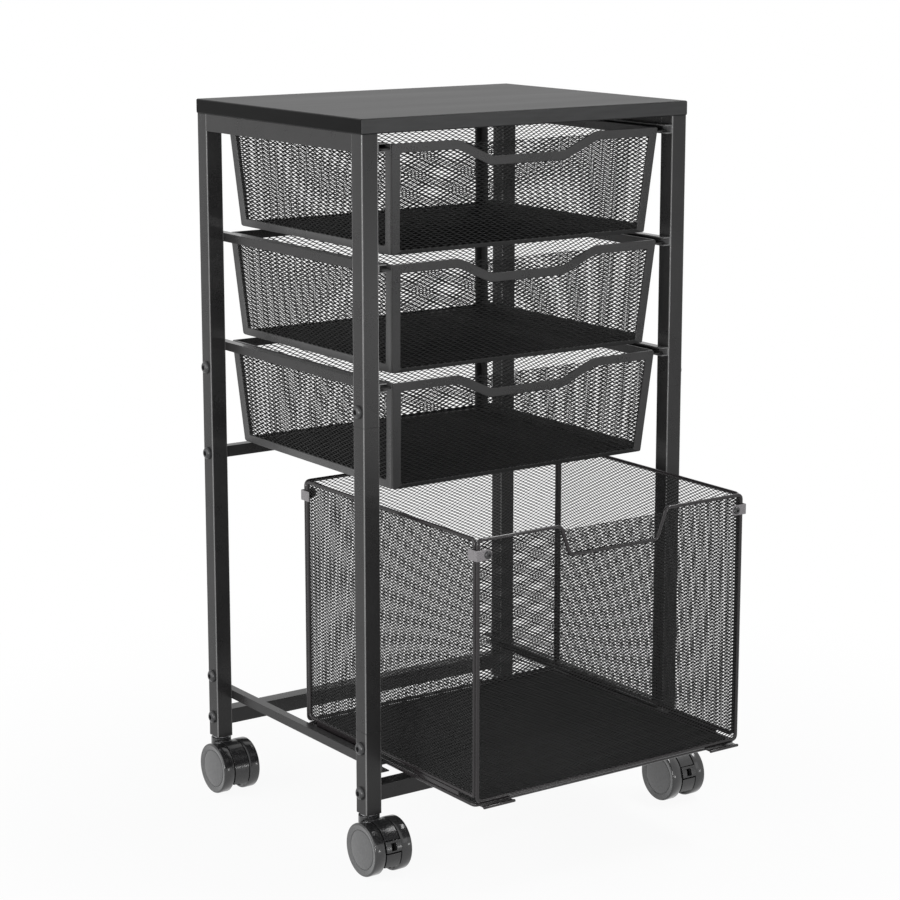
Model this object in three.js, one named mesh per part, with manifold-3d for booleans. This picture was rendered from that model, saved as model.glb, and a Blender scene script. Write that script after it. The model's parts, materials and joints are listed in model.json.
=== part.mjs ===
// Mobile file cart: a welded tube frame on twin-wheel casters, with three mesh drawers
// in side runners and a mesh hanging-file box on slides, drawn half out to the front.
// Millimetres, +Z up, the front of the cart faces -Y, the floor is z = 0.
// The frame is drawn about its own middle, and the last lines set the whole part over the origin.
import * as THREE from 'three';
import { mergeVertices } from 'three/addons/utils/BufferGeometryUtils.js';
import Module from 'manifold-3d';

const wasm = await Module();
wasm.setup();

// Frame
const FRAME_WIDTH = 400.5;
const FRAME_DEPTH = 314.4;
const LEG_BOTTOM = 57;
const TUBE = 18.5;
const TUBE_WALL = 1.2;
const TUBE_ROUND = 1;
const LOW_SEAM = 143;
const SEAM_UNDER_RIM = 40.2;
const SPIGOT_LENGTH = 30;
const FIT = 0.3;
const WELD = 0.2;
const BOARD_BOTTOM = 736;
const BOARD_THICKNESS = 15;
const BOARD_OVERHANG = 1;
const BOARD_EASE = 1;
const TOP_RAIL_HEIGHT = 17.5;
const PLUG_DEPTH = 14;

// Rails across the cart
const LOW_RAIL_BOTTOM = 70.5;
const LOW_RAIL_HEIGHT = 16.4;
const MIDDLE_RAIL_UNDER_DRAWER = 3.5;
const MIDDLE_RAIL_HEIGHT = 12;
const MIDDLE_RAIL_DEPTH = 12;

// Runner channels for the drawers, slide channels for the file box
const RUNNER_SIZE = 9;
const RUNNER_WALL = 1.2;
const RUNNER_END_INSET = 0.5;
const RIM_BELOW_RUNNER_TOP = 1.8;
const SLIDE_SIZE = 9.5;
const SLIDE_OVER_LOW_RAIL = 12.1;

// Drawers
const DRAWER_UNDER_BOARD = 10.7;
const DRAWER_PITCH = 116.3;
const DRAWER_SPACING = 7.4;
const DRAWER_SIDE_GAP = 17.5;
const DRAWER_SIDE_LEAN = 7;
const DRAWER_END_GAP = 2.6;
const DRAWER_END_LEAN = 11.5;
const SHEET = 1.6;
const STRIP = 9;
const DIP_TOP_WIDTH = 168;
const DIP_BOTTOM_WIDTH = 88;
const DIP_DEPTH = 18;
const DIP_ROUND = 6;
const CORNER_ROUND = 2;
const LIP_EDGE_GAP = 2.8;
const LIP_END_INSET = 1;

// File box
const BOX_SIDE_GAP = 15.75;
const BOX_END_GAP = 5.3;
const BOX_REAR_GAP = 2.1;
const BOX_PULLED_OUT = 144;
const BOX_UNDER_RAIL = 1.6;
const TRAY_OVER_SLIDE = 3;
const SIDE_OVER_TRAY = 8.8;
const WIRE = 4;
const WIRE_ROUND = 5;
const BOX_SHEET = 1.2;
const NOTCH_TOP_WIDTH = 131;
const NOTCH_BOTTOM_WIDTH = 108;
const NOTCH_DEPTH = 30.4;
const CLIP_HEIGHT = 10.8;
const CLIP_DROP = 11;
const CLIP_FRONT_REACH = 17;
const CLIP_SIDE_REACH = 13.5;
const CLIP_SHEET = 1.5;
const TIE_LENGTH = 77;
const TIE_INSET = 32;
const SLIDE_PLATE_LENGTH = 75;
const SLIDE_PLATE_INSET = 25;
const TONGUE_THICKNESS = 2;
const TONGUE_EDGE_GAP = 2.2;
const TRAY_SET_BACK = 4;
const STOP_LENGTH = 37.5;
const STOP_INSET = 2.75;
const STOP_REACH = 12.5;
const STOP_THICKNESS = 3;

// Openings of the expanded metal, drawn coarse
const MESH_STRAND = 3;
const FIELD_WIDTH_USED = 0.95;
const WALL_CELLS = [6, 2];
const FLOOR_CELLS = [5, 4];
const BOX_CELLS = [5, 3];

// Casters
const WHEEL_DIAMETER = 54.6;
const WHEEL_WIDTH = 12.5;
const WHEEL_SHOULDER = 1.2;
const WHEEL_RING = 4.4;
const WHEEL_DISH = 1;
const WHEEL_FACE = 4;
const WHEEL_SEGMENTS = 20;
const CASTER_WIDTH = 44;
const CASTER_TRAIL = 18.3;
const HOOD_WIDTH = 17;
const HOOD_INSET = 0.3;
const HOOD_END_ANGLE = 0.6;
const WHEEL_WELL_GAP = 1;
const AXLE_DIAMETER = 6;
const AXLE_LENGTH = 32;
const STEM_DIAMETER = 10;
const STEM_INSERT = 34;
const STEM_IN_HOOD = 20;
const COLLAR_DIAMETER = 22;
const COLLAR_GAP = 2;
const LEVER_WIDTH = 17.8;
const LEVER_DEPTH = 6;
const LEVER_PROUD = 1.2;
const LEVER_ANGLES = [0.07, 0.49];
const LEVER_SLOT_ANGLES = [0, 0.525];
const LEVER_SLOT_DEPTH = 1.2;
const LEVER_WINDOW = 6.2;
const LEVER_WINDOW_ANGLES = [0.13, 0.4];
const ROUND_SEGMENTS = 16;
const ARC_SEGMENTS = 12;

const HALF_WIDTH = FRAME_WIDTH / 2;
const HALF_DEPTH = FRAME_DEPTH / 2;
const LEG_X = HALF_WIDTH - TUBE / 2;
const LEG_Y = HALF_DEPTH - TUBE / 2;
const INNER_X = HALF_WIDTH - TUBE;
const INNER_Y = HALF_DEPTH - TUBE;
const BORE = TUBE - 2 * TUBE_WALL;
const SPIGOT = BORE - 2 * FIT;
const SPIGOT_BORE = SPIGOT - 2 * TUBE_WALL;
const DRAWER_HEIGHT = DRAWER_PITCH - DRAWER_SPACING;
const DRAWER_TOP_WIDTH = 2 * (INNER_X - DRAWER_SIDE_GAP);
const DRAWER_BOTTOM_WIDTH = DRAWER_TOP_WIDTH - 2 * DRAWER_SIDE_LEAN;
const DRAWER_TOP_DEPTH = FRAME_DEPTH - 2 * DRAWER_END_GAP;
const DRAWER_BOTTOM_DEPTH = DRAWER_TOP_DEPTH - 2 * DRAWER_END_LEAN;
const rimTop = (index) => BOARD_BOTTOM - DRAWER_UNDER_BOARD - index * DRAWER_PITCH;
const HIGH_SEAM = rimTop(2) - SEAM_UNDER_RIM;
const MIDDLE_RAIL_BOTTOM = rimTop(2) - DRAWER_HEIGHT - MIDDLE_RAIL_UNDER_DRAWER - MIDDLE_RAIL_HEIGHT;
const SLIDE_BOTTOM = LOW_RAIL_BOTTOM + LOW_RAIL_HEIGHT + SLIDE_OVER_LOW_RAIL;
const BOX_WIDTH = 2 * (INNER_X - BOX_SIDE_GAP);
const BOX_DEPTH = FRAME_DEPTH - BOX_END_GAP;
const BOX_REAR = HALF_DEPTH - BOX_REAR_GAP - BOX_PULLED_OUT;
const BOX_TOP = MIDDLE_RAIL_BOTTOM - BOX_UNDER_RAIL;
const TRAY_WIRE_HEIGHT = SLIDE_BOTTOM + TRAY_OVER_SLIDE;
const SIDE_WIRE_HEIGHT = TRAY_WIRE_HEIGHT + SIDE_OVER_TRAY;

const steel = (color) => new THREE.MeshStandardMaterial({ color, roughness: 0.42, metalness: 0.35 });
const plastic = (color, roughness) => new THREE.MeshStandardMaterial({ color, roughness, metalness: 0 });
const FRAME_PAINT = steel(0x2b2b2c);
const DRAWER_PAINT = steel(0x303031);
const BOX_PAINT = steel(0x2a2728);
const BOARD_LAMINATE = plastic(0x161616, 0.45);
const HOOD_PLASTIC = plastic(0x1c1c1d, 0.25);
const WHEEL_PLASTIC = plastic(0x4a4a4b, 0.4);
const BRIGHT_STEEL = new THREE.MeshStandardMaterial({ color: 0xb8b8ba, roughness: 0.3, metalness: 1 });

const SIDES = [['left', -1], ['right', 1]];
const ENDS = [['front', -1], ['rear', 1]];

// Solids
function toSolid(geometry) {
  const bare = geometry.clone();
  bare.deleteAttribute('normal');
  bare.deleteAttribute('uv');
  const merged = mergeVertices(bare, 1e-4);
  const vertProperties = new Float32Array(merged.attributes.position.array);
  const triVerts = new Uint32Array(merged.index.array);
  return new wasm.Manifold(new wasm.Mesh({ numProp: 3, vertProperties, triVerts }));
}

function toGeometry(solid) {
  const { vertProperties, triVerts } = solid.getMesh();
  const geometry = new THREE.BufferGeometry();
  geometry.setAttribute('position', new THREE.BufferAttribute(new Float32Array(vertProperties), 3));
  geometry.setIndex(new THREE.BufferAttribute(new Uint32Array(triVerts), 1));
  const faceted = geometry.toNonIndexed();
  faceted.computeVertexNormals();
  return faceted;
}

const join = (solids) => solids.reduce((whole, solid) => whole.add(solid));

function box([x0, x1], [y0, y1], [z0, z1]) {
  const geometry = new THREE.BoxGeometry(x1 - x0, y1 - y0, z1 - z0);
  return geometry.translate((x0 + x1) / 2, (y0 + y1) / 2, (z0 + z1) / 2);
}

function boxSolid(xs, ys, zs) {
  return toSolid(box(xs, ys, zs));
}

// A round bar standing on the origin's axis
function upright(diameter, from, to) {
  const geometry = new THREE.CylinderGeometry(diameter / 2, diameter / 2, to - from, ROUND_SEGMENTS);
  return toSolid(geometry.rotateX(Math.PI / 2).translate(0, 0, (from + to) / 2));
}

// A span from a centre line outwards, in order for either side
const span = (sign, near, far) => (sign > 0 ? [near, far] : [-far, -near]);
const about = (centre, size) => [centre - size / 2, centre + size / 2];

// Outlines
// A closed outline with rounded corners, by one radius or by a list with one for each corner
function roundedOutline(points, radius, Kind = THREE.Shape) {
  const outline = new Kind();
  points.forEach((corner, i) => {
    const before = points[(i + points.length - 1) % points.length];
    const after = points[(i + 1) % points.length];
    const size = Array.isArray(radius) ? radius[i] : radius;
    const towards = (other) => other.clone().sub(corner).setLength(size).add(corner);
    const start = towards(before);
    const end = towards(after);
    if (i === 0) outline.moveTo(start.x, start.y);
    else outline.lineTo(start.x, start.y);
    outline.quadraticCurveTo(corner.x, corner.y, end.x, end.y);
  });
  outline.closePath();
  return outline;
}

const corners = (pairs) => pairs.map(([x, y]) => new THREE.Vector2(x, y));

function rectangle(width, height) {
  const [x, y] = [width / 2, height / 2];
  return corners([[-x, -y], [x, -y], [x, y], [-x, y]]);
}

// Moves every side of an anticlockwise outline outwards by a distance
function offsetOutline(points, distance) {
  const lines = points.map((from, i) => {
    const along = points[(i + 1) % points.length].clone().sub(from).normalize();
    const outwards = new THREE.Vector2(along.y, -along.x);
    return { from: from.clone().addScaledVector(outwards, distance), along };
  });
  return lines.map((line, i) => {
    const last = lines[(i + lines.length - 1) % lines.length];
    const between = line.from.clone().sub(last.from);
    const reach = between.cross(line.along) / last.along.cross(line.along);
    return last.from.clone().addScaledVector(last.along, reach);
  });
}

function isInside(points, { x, y }) {
  return points.reduce((inside, a, i) => {
    const b = points[(i + 1) % points.length];
    const crosses = (a.y > y) !== (b.y > y);
    return crosses && x < a.x + ((y - a.y) * (b.x - a.x)) / (b.y - a.y) ? !inside : inside;
  }, false);
}

// Diamond openings of expanded metal, in whole cells that fill the field inside a solid border
function diamondHoles(points, border, [columns, rows]) {
  const field = offsetOutline(points, -border);
  const bounds = new THREE.Box2().setFromPoints(field);
  const middle = bounds.getCenter(new THREE.Vector2());
  const size = bounds.getSize(new THREE.Vector2());
  const halfCell = new THREE.Vector2((size.x * FIELD_WIDTH_USED) / columns / 2, size.y / rows / 2);
  const [dx, dy] = [halfCell.x - MESH_STRAND, halfCell.y - MESH_STRAND];
  const holes = [];
  for (let row = 1; row < 2 * rows; row += 1) {
    for (let column = 1; column < 2 * columns; column += 1) {
      if ((row + column) % 2 !== 0) continue;
      const x = middle.x + (column - columns) * halfCell.x;
      const y = middle.y + (row - rows) * halfCell.y;
      const tips = corners([[x - dx, y], [x, y - dy], [x + dx, y], [x, y + dy]]);
      if (tips.every((tip) => isInside(field, tip))) holes.push(new THREE.Path(tips));
    }
  }
  return holes;
}

function extrude(shape, depth, curveSegments = 2) {
  return new THREE.ExtrudeGeometry(shape, { depth, curveSegments, bevelEnabled: false });
}

function addMesh(parent, name, geometry, material) {
  const mesh = new THREE.Mesh(geometry, material);
  mesh.name = name;
  parent.add(mesh);
  return mesh;
}

// Tubes standing at a leg's place
function legBar(size, [z0, z1], x, y) {
  const shape = roundedOutline(rectangle(size, size), TUBE_ROUND * (size / TUBE));
  return toSolid(extrude(shape, z1 - z0).translate(x, y, z0));
}

function channelAlongY(sign, size, bottom) {
  const wall = RUNNER_WALL;
  const inside = size - wall;
  const profile = corners([
    [-WELD, 0], [size, 0], [size, wall], [wall, wall],
    [wall, inside], [size, inside], [size, size], [-WELD, size],
  ]);
  const length = FRAME_DEPTH - 2 * RUNNER_END_INSET;
  const geometry = extrude(new THREE.Shape(profile), length);
  geometry.rotateX(Math.PI / 2).translate(0, length / 2, bottom);
  const solid = toSolid(geometry.translate(-INNER_X, 0, 0));
  return sign < 0 ? solid : solid.mirror([1, 0, 0]);
}

// Frame
function makeFrame() {
  const frame = new THREE.Group();
  const boardWidth = FRAME_WIDTH + 2 * BOARD_OVERHANG;
  const boardDepth = FRAME_DEPTH + 2 * BOARD_OVERHANG;
  const boardOutline = rectangle(boardWidth - 2 * BOARD_EASE, boardDepth - 2 * BOARD_EASE);
  const boardShape = roundedOutline(boardOutline, BOARD_EASE);
  const board = new THREE.ExtrudeGeometry(boardShape, {
    depth: BOARD_THICKNESS - 2 * BOARD_EASE,
    bevelThickness: BOARD_EASE,
    bevelSize: BOARD_EASE,
    bevelSegments: 1,
    curveSegments: 2,
  });
  addMesh(frame, 'top_board', board.translate(0, 0, BOARD_BOTTOM + BOARD_EASE), BOARD_LAMINATE);

  for (const [side, sx] of SIDES) {
    addMesh(frame, `upper_side_frame_${side}`, toGeometry(upperSideFrame(sx)), FRAME_PAINT);
    addMesh(frame, `lower_side_frame_${side}`, toGeometry(lowerSideFrame(sx)), FRAME_PAINT);
    for (const [end, sy] of ENDS) {
      addMesh(frame, `leg_middle_${end}_${side}`, toGeometry(middleLeg(sx, sy)), FRAME_PAINT);
    }
  }
  const lowTube = [TUBE, LOW_RAIL_HEIGHT, LOW_RAIL_BOTTOM];
  addMesh(frame, 'rail_front_low', crossRail(-1, ...lowTube), FRAME_PAINT);
  addMesh(frame, 'rail_rear_low', crossRail(1, ...lowTube), FRAME_PAINT);
  const middleTube = [MIDDLE_RAIL_DEPTH, MIDDLE_RAIL_HEIGHT, MIDDLE_RAIL_BOTTOM];
  addMesh(frame, 'rail_rear_middle', crossRail(1, ...middleTube), FRAME_PAINT);
  return frame;
}

function upperSideFrame(sx) {
  const x = sx * LEG_X;
  const posts = ENDS.map(([, sy]) => {
    const post = legBar(TUBE, [HIGH_SEAM, BOARD_BOTTOM], x, sy * LEG_Y);
    const bore = legBar(BORE, [HIGH_SEAM - 1, BOARD_BOTTOM - TUBE_WALL], x, sy * LEG_Y);
    return post.subtract(bore);
  });
  const railSpan = [-INNER_Y - WELD, INNER_Y + WELD];
  const topRail = boxSolid(about(x, TUBE), railSpan, [BOARD_BOTTOM - TOP_RAIL_HEIGHT, BOARD_BOTTOM]);
  const runners = [0, 1, 2].map((index) => {
    const runnerTop = rimTop(index) + RIM_BELOW_RUNNER_TOP;
    return channelAlongY(sx, RUNNER_SIZE, runnerTop - RUNNER_SIZE);
  });
  return join([...posts, topRail, ...runners]);
}

function middleLeg(sx, sy) {
  const [x, y] = [sx * LEG_X, sy * LEG_Y];
  const spigotStart = HIGH_SEAM - TUBE;
  const spigotEnd = HIGH_SEAM + SPIGOT_LENGTH;
  return legBar(TUBE, [LOW_SEAM, HIGH_SEAM], x, y)
    .add(legBar(SPIGOT, [spigotStart, spigotEnd], x, y))
    .subtract(legBar(BORE, [LOW_SEAM - 1, spigotStart], x, y))
    .subtract(legBar(SPIGOT_BORE, [spigotStart - 1, spigotEnd + 1], x, y));
}

function lowerSideFrame(sx) {
  const x = sx * LEG_X;
  const posts = ENDS.map(([, sy]) => {
    const y = sy * LEG_Y;
    const spigotEnd = LOW_SEAM + SPIGOT_LENGTH;
    const stemBore = upright(STEM_DIAMETER + 2 * FIT, LEG_BOTTOM - 1, LEG_BOTTOM + PLUG_DEPTH + 1);
    return legBar(TUBE, [LEG_BOTTOM, LOW_SEAM], x, y)
      .add(legBar(SPIGOT, [LOW_SEAM - 1, spigotEnd], x, y))
      .subtract(legBar(SPIGOT_BORE, [LEG_BOTTOM + PLUG_DEPTH, spigotEnd + 1], x, y))
      .subtract(stemBore.translate([x, y, 0]));
  });
  return join([...posts, channelAlongY(sx, SLIDE_SIZE, SLIDE_BOTTOM)]);
}

function crossRail(sy, depth, height, bottom) {
  const shape = roundedOutline(rectangle(depth, height), TUBE_ROUND);
  const inside = rectangle(depth - 2 * TUBE_WALL, height - 2 * TUBE_WALL);
  shape.holes.push(roundedOutline(inside, TUBE_WALL, THREE.Path));
  const length = 2 * INNER_X;
  const geometry = extrude(shape, length).translate(0, 0, -length / 2);
  return geometry.rotateX(Math.PI / 2).rotateZ(Math.PI / 2).translate(0, sy * LEG_Y, bottom + height / 2);
}

// Drawers
// A slanted wall at the front, turned by quarter turns to the other sides
function wallMatrix(quarter, topOffset, bottomOffset, height) {
  const up = new THREE.Vector3(0, bottomOffset - topOffset, height).normalize();
  const along = new THREE.Vector3(1, 0, 0);
  const out = along.clone().cross(up);
  const matrix = new THREE.Matrix4().makeBasis(along, up, out).setPosition(0, -bottomOffset, 0);
  return new THREE.Matrix4().makeRotationZ((quarter * Math.PI) / 2).multiply(matrix);
}

function drawerWall(topHalf, bottomHalf, topOffset, bottomOffset, quarter, hasDip) {
  const slant = Math.hypot(DRAWER_HEIGHT, topOffset - bottomOffset);
  const dip = hasDip
    ? [[DIP_TOP_WIDTH / 2, slant], [DIP_BOTTOM_WIDTH / 2, slant - DIP_DEPTH],
      [-DIP_BOTTOM_WIDTH / 2, slant - DIP_DEPTH], [-DIP_TOP_WIDTH / 2, slant]]
    : [];
  const foot = [[-bottomHalf, 0], [bottomHalf, 0]];
  const outline = corners([...foot, [topHalf, slant], ...dip, [-topHalf, slant]]);
  const dipStart = foot.length + 1;
  const isDip = (i) => i >= dipStart && i < dipStart + dip.length;
  const radii = outline.map((_, i) => (isDip(i) ? DIP_ROUND : CORNER_ROUND));
  const shape = roundedOutline(outline, radii);
  shape.holes.push(...diamondHoles(outline, STRIP, WALL_CELLS));
  return extrude(shape, SHEET, 3).applyMatrix4(wallMatrix(quarter, topOffset, bottomOffset, DRAWER_HEIGHT));
}

function makeDrawer(name, index) {
  const drawer = new THREE.Group();
  drawer.position.z = rimTop(index) - DRAWER_HEIGHT;
  const topX = DRAWER_TOP_WIDTH / 2;
  const bottomX = DRAWER_BOTTOM_WIDTH / 2;
  const topY = DRAWER_TOP_DEPTH / 2;
  const bottomY = DRAWER_BOTTOM_DEPTH / 2;
  const thick = SHEET + FIT;
  const across = [topX, bottomX, topY - SHEET, bottomY - SHEET];
  addMesh(drawer, `drawer_${name}_front`, drawerWall(...across, 0, true), DRAWER_PAINT);
  addMesh(drawer, `drawer_${name}_back`, drawerWall(...across, 2, false), DRAWER_PAINT);
  for (const [side, sx] of SIDES) {
    const deep = [topY - thick, bottomY - thick, topX - SHEET, bottomX - SHEET];
    const wall = drawerWall(...deep, sx > 0 ? 1 : 3, false);
    const wallWithLip = toSolid(wall).add(drawerLip(sx, topX, topY));
    addMesh(drawer, `drawer_${name}_${side}`, toGeometry(wallWithLip), DRAWER_PAINT);
  }
  const floorOutline = rectangle(2 * (bottomX - thick), 2 * (bottomY - thick));
  const floor = new THREE.Shape(floorOutline);
  floor.holes.push(...diamondHoles(floorOutline, STRIP, FLOOR_CELLS));
  addMesh(drawer, `drawer_${name}_floor`, extrude(floor, SHEET), DRAWER_PAINT);
  return drawer;
}

// The lip that runs inside the runner channel, just above its lower flange
function drawerLip(sx, topX, topY) {
  const channelFloor = DRAWER_HEIGHT + RIM_BELOW_RUNNER_TOP - RUNNER_SIZE + RUNNER_WALL;
  const reach = span(sx, topX - SHEET, INNER_X - RUNNER_WALL - LIP_EDGE_GAP);
  const halfLength = topY - SHEET - FIT - LIP_END_INSET;
  return boxSolid(reach, [-halfLength, halfLength], [channelFloor + FIT, channelFloor + FIT + SHEET]);
}

// File box
// Radii of a wire's edge: wider on the outside of each bend, tighter on its inside
function bendRadii(points, offset) {
  return points.map((corner, i) => {
    const before = corner.clone().sub(points[(i + points.length - 1) % points.length]);
    const after = points[(i + 1) % points.length].clone().sub(corner);
    return WIRE_ROUND + Math.sign(before.cross(after)) * offset;
  });
}

// A round wire bent to an outline, as a ring with chamfered edges, and its mesh sheet
function wirePanel(outline) {
  const chamfer = WIRE * 0.3;
  const edge = (offset, Kind) => {
    const radii = bendRadii(outline, offset);
    return roundedOutline(offsetOutline(outline, offset), radii, Kind);
  };
  const ring = edge(WIRE / 2);
  ring.holes.push(edge(-WIRE / 2, THREE.Path));
  const wire = new THREE.ExtrudeGeometry(ring, {
    depth: WIRE - 2 * chamfer,
    bevelThickness: chamfer,
    bevelSize: chamfer,
    bevelOffset: -chamfer,
    bevelSegments: 1,
    curveSegments: 3,
  });
  wire.translate(0, 0, chamfer - WIRE / 2);
  const sheet = roundedOutline(outline, WIRE_ROUND);
  sheet.holes.push(...diamondHoles(outline, WIRE + MESH_STRAND, BOX_CELLS));
  const mesh = extrude(sheet, BOX_SHEET, 3).translate(0, 0, -BOX_SHEET / 2);
  return toSolid(wire).add(toSolid(mesh));
}

// Stands a panel drawn in its own plane up on the front, then turns it to its side
function standPanel(solid, quarter, offset) {
  const geometry = toGeometry(solid).rotateX(Math.PI / 2).translate(0, -offset, 0);
  return geometry.rotateZ((quarter * Math.PI) / 2);
}

function makeFileBox() {
  const fileBox = new THREE.Group();
  fileBox.position.y = BOX_REAR - BOX_DEPTH / 2;
  const frontY = BOX_DEPTH / 2 - WIRE / 2;
  const sideX = BOX_WIDTH / 2 - WIRE / 2;
  const wireGap = WIRE + FIT;
  const top = BOX_TOP - WIRE / 2;
  const frontX = sideX - FIT;
  const sideY = frontY - wireGap;

  const notch = [[NOTCH_TOP_WIDTH / 2, top], [NOTCH_BOTTOM_WIDTH / 2, top - NOTCH_DEPTH],
    [-NOTCH_BOTTOM_WIDTH / 2, top - NOTCH_DEPTH], [-NOTCH_TOP_WIDTH / 2, top]];
  const frontBottom = TRAY_WIRE_HEIGHT + wireGap;
  const endFoot = [[-frontX, frontBottom], [frontX, frontBottom], [frontX, top]];
  const endOutline = (cut) => corners([...endFoot, ...cut, [-frontX, top]]);
  const front = standPanel(wirePanel(endOutline(notch)), 0, frontY);
  const back = standPanel(wirePanel(endOutline([])), 2, frontY);
  addMesh(fileBox, 'file_box_front', front, BOX_PAINT);
  addMesh(fileBox, 'file_box_back', back, BOX_PAINT);
  const sideFoot = [[-sideY, SIDE_WIRE_HEIGHT], [sideY, SIDE_WIRE_HEIGHT]];
  const sideOutline = corners([...sideFoot, [sideY, top], [-sideY, top]]);
  for (const [side, sx] of SIDES) {
    const panel = standPanel(wirePanel(sideOutline), sx > 0 ? 1 : 3, sideX);
    addMesh(fileBox, `file_box_${side}`, panel, BOX_PAINT);
    for (const [end, sy] of ENDS) {
      addMesh(fileBox, `file_box_clip_${end}_${side}`, toGeometry(cornerClip(sx, sy)), BOX_PAINT);
    }
    addMesh(fileBox, `file_box_tie_${side}`, tiePlate(sx, sideX), BOX_PAINT);
    addMesh(fileBox, `file_box_slide_${side}`, toGeometry(slidePlate(sx)), BOX_PAINT);
  }
  addMesh(fileBox, 'file_box_tray', toGeometry(tray(sideX, frontY)), BOX_PAINT);
  return fileBox;
}

// The tray has two stops in front, flat bars that lie over the front rail when the box is pushed in
function tray(sideX, frontY) {
  const outline = rectangle(2 * sideX, 2 * frontY - TRAY_SET_BACK);
  const panel = wirePanel(outline).translate([0, TRAY_SET_BACK / 2, TRAY_WIRE_HEIGHT]);
  const wireY = frontY - TRAY_SET_BACK;
  const stops = SIDES.map(([, sx]) => {
    const reach = span(sx, sideX - STOP_INSET - STOP_LENGTH, sideX - STOP_INSET);
    return boxSolid(reach, [-wireY - STOP_REACH, -wireY], about(TRAY_WIRE_HEIGHT, STOP_THICKNESS));
  });
  return join([panel, ...stops]);
}

// A sheet angle round a top corner, outside both wires, with a round end for its screw
function cornerClip(sx, sy) {
  const outerX = BOX_WIDTH / 2 + FIT;
  const outerY = BOX_DEPTH / 2 + FIT;
  const clipTop = BOX_TOP - CLIP_DROP;
  const heights = [clipTop - CLIP_HEIGHT, clipTop];
  const [farX, farY] = [outerX + CLIP_SHEET, outerY + CLIP_SHEET];
  const sideLeg = boxSolid(span(sx, outerX, farX), span(sy, outerY - CLIP_SIDE_REACH, farY), heights);
  const eyeX = outerX - CLIP_FRONT_REACH + CLIP_HEIGHT / 2;
  const endLeg = boxSolid(span(sx, eyeX, farX), span(sy, outerY, farY), heights);
  const [eyeFrom] = span(sy, outerY, farY);
  const eye = upright(CLIP_HEIGHT, 0, CLIP_SHEET)
    .rotate([-90, 0, 0])
    .translate([sx * eyeX, eyeFrom, clipTop - CLIP_HEIGHT / 2]);
  return join([sideLeg, endLeg, eye]);
}

// A flat bar in the gap between the side panel's lower wire and the tray's wire
function tiePlate(sx, sideX) {
  const far = BOX_DEPTH / 2 - TIE_INSET;
  const rise = [TRAY_WIRE_HEIGHT + WIRE / 2 + FIT, SIDE_WIRE_HEIGHT - WIRE / 2 - FIT];
  return box(about(sx * sideX, CLIP_SHEET), [-far, TIE_LENGTH - far], rise);
}

// A plate outside both wires near the back, with the tongue that runs in the slide channel
function slidePlate(sx) {
  const face = BOX_WIDTH / 2 + FIT;
  const far = BOX_DEPTH / 2 - SLIDE_PLATE_INSET;
  const run = [far - SLIDE_PLATE_LENGTH, far];
  const heights = [TRAY_WIRE_HEIGHT - WIRE / 2, SIDE_WIRE_HEIGHT + WIRE / 2];
  const plate = boxSolid(span(sx, face, face + CLIP_SHEET), run, heights);
  const tongueBottom = SLIDE_BOTTOM + RUNNER_WALL + FIT;
  const tongueEdge = INNER_X - RUNNER_WALL - TONGUE_EDGE_GAP;
  const tongueHeights = [tongueBottom, tongueBottom + TONGUE_THICKNESS];
  return plate.add(boxSolid(span(sx, face, tongueEdge), run, tongueHeights));
}

// Casters
function wheelGeometry() {
  const r = WHEEL_DIAMETER / 2;
  const w = WHEEL_WIDTH;
  const bore = AXLE_DIAMETER / 2 + FIT;
  const boreDepth = w - WHEEL_FACE;
  const ring = r - WHEEL_RING;
  const shoulder = r - WHEEL_SHOULDER;
  const profile = corners([
    [0, boreDepth], [bore, boreDepth], [bore, 0], [shoulder, 0], [r, WHEEL_SHOULDER], [r, w - WHEEL_SHOULDER],
    [shoulder, w], [ring, w], [ring - WHEEL_DISH, w - WHEEL_DISH], [0, w - WHEEL_DISH / 2],
  ]);
  return new THREE.LatheGeometry(profile, WHEEL_SEGMENTS).rotateZ(-Math.PI / 2);
}

// Draws in the plane of the wheel, with the front of the caster to the right, and sets the width across it
function acrossWheel(shape, width) {
  const geometry = extrude(shape, width, ARC_SEGMENTS).translate(0, 0, -width / 2);
  geometry.rotateX(Math.PI / 2).rotateZ(-Math.PI / 2);
  return toSolid(geometry.translate(0, -CASTER_TRAIL, WHEEL_DIAMETER / 2));
}

// Part of a ring about the axle
function sector(inner, outer, [from, to]) {
  const shape = new THREE.Shape();
  shape.absarc(0, 0, outer, from, to, false);
  shape.absarc(0, 0, inner, to, from, true);
  shape.closePath();
  return shape;
}

const HOOD_RADIUS = WHEEL_DIAMETER / 2 - HOOD_INSET;

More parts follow.
